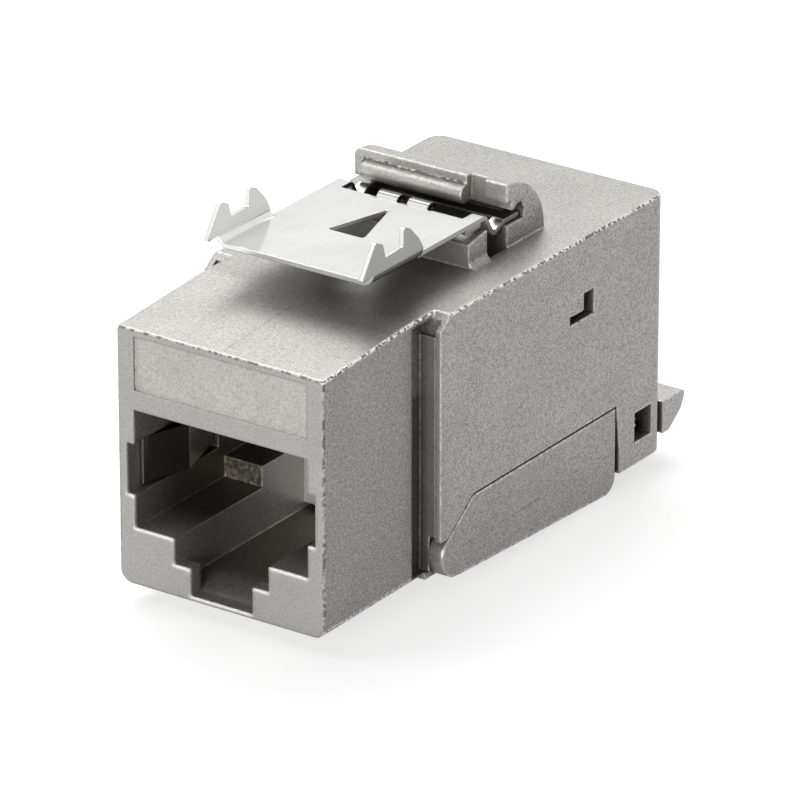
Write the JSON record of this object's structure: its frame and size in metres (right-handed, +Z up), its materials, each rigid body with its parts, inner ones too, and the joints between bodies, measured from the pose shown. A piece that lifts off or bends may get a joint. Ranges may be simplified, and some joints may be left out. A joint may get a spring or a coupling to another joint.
{
  "type": "keystone jack",
  "caption": "Shielded tool-free RJ45 keystone jack: metal front with plug port, sprung sheet clip on top, wide rear box with a swinging terminating flap and a cable shelf.",
  "frame": {"origin": "middle of the front face's lower edge, in the plane of the plug port's mouth", "axes": "+X to the right seen from the front, +Y back along the jack towards the cable, +Z up"},
  "size_m": [0.0166, 0.0364, 0.0226],
  "materials": {
    "die_cast_zinc": "satin nickel-plated zinc casting",
    "spring_steel": "bright stamped spring steel",
    "flap_zinc": "satin nickel-plated zinc casting",
    "shelf_zinc": "satin nickel-plated zinc casting",
    "black_plastic": "matt black moulding",
    "shield_steel": "thin stamped sheet",
    "board_green": "green solder mask",
    "pale_plastic": "pale grey moulding",
    "white_plastic": "white moulding",
    "contact_gold": "gilt spring wire",
    "blade_bronze": "tinned bronze strip"
  },
  "bodies": {
    "body": {"housing": "die_cast_zinc", "jack_insert": "black_plastic", "left_shield_spring": "shield_steel", "right_shield_spring": "shield_steel", "circuit_board": "board_green", "idc_block": "pale_plastic", "wire_manager": "white_plastic", "cable_shelf": "shelf_zinc", "contact_1": "contact_gold", "contact_2": "contact_gold", "contact_3": "contact_gold", "contact_4": "contact_gold", "contact_5": "contact_gold", "contact_6": "contact_gold", "contact_7": "contact_gold", "contact_8": "contact_gold", "idc_blade_1": "blade_bronze", "idc_blade_2": "blade_bronze", "idc_blade_3": "blade_bronze", "idc_blade_4": "blade_bronze", "idc_blade_5": "blade_bronze", "idc_blade_6": "blade_bronze", "idc_blade_7": "blade_bronze", "idc_blade_8": "blade_bronze"},
    "clip": {"latch_clip": "spring_steel"},
    "flap_arm": {"flap": "flap_zinc"}
  },
  "joints": [
    {"name": "flap_hinge", "type": "hinge", "parent": "body", "child": "flap_arm", "pos_m": [0, 0.0117, 0.00135], "axis": [-1, 0, 0], "range_deg": [0, 90]},
    {"name": "clip_hinge", "type": "hinge", "parent": "body", "child": "clip", "pos_m": [0, 0.0203, 0.0184], "axis": [1, 0, 0], "range_deg": [0, 8], "stiffness_Nm_per_rad": 0.3, "springref_deg": -1.15}
  ]
}
